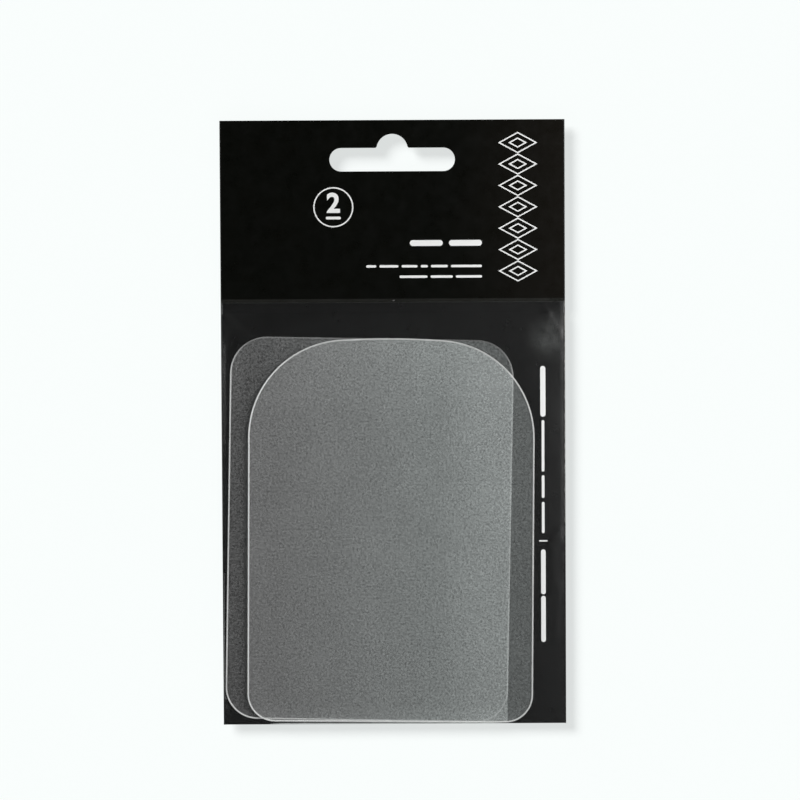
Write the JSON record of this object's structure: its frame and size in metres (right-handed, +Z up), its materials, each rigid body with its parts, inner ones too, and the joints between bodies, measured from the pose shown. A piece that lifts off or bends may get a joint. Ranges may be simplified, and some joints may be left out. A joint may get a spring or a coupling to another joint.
{
  "type": "icing smoother",
  "caption": "Thin flexible frosted sheets with rounded corners for smoothing icing, in a flat film header bag with a hang slot and a closing flap on the back.",
  "frame": {"origin": "the top of the hang slot's arch, midway through the header, where a display peg carries the pack", "axes": "+X to the right as seen by the shopper, +Y from the display face to the back, +Z up"},
  "size_m": [0.1118, 0.0018, 0.1967],
  "materials": {
    "frosted_sheet": "fine frosted, flexible translucent plastic sheet with polished cut edges",
    "clear_film": "clear glossy packaging film",
    "black_film": "glossy packaging film printed solid black behind",
    "stiffener": "plain black plastic strip",
    "adhesive": "clear tacky strip"
  },
  "bodies": {
    "pack": {"pouch_front_film": "clear_film", "pouch_rear_film": "black_film", "header_front_film": "black_film", "header_rear_film": "black_film", "header_stiffener": "stiffener", "header_top_fold": "black_film", "header_seal_band": "black_film", "side_weld_left": "black_film", "side_weld_right": "black_film", "bottom_fold": "black_film"},
    "flap": {"closing_flap": "black_film", "adhesive_strip": "adhesive"},
    "front_smoother": {"smoother_round_top": "frosted_sheet"},
    "rear_smoother": {"smoother_square_top": "frosted_sheet"}
  },
  "joints": [
    {"name": "flap_hinge", "type": "hinge", "parent": "pack", "child": "flap", "pos_m": [0, 0.00023, -0.05446], "axis": [1, 0, 0], "range_deg": [0, 150]},
    {"name": "front_smoother_slide", "type": "slide", "parent": "pack", "child": "front_smoother", "axis": [0, 0, 1], "range_m": [0, 0.007]},
    {"name": "rear_smoother_slide", "type": "slide", "parent": "pack", "child": "rear_smoother", "axis": [0, 0, 1], "range_m": [0, 0.007]}
  ]
}
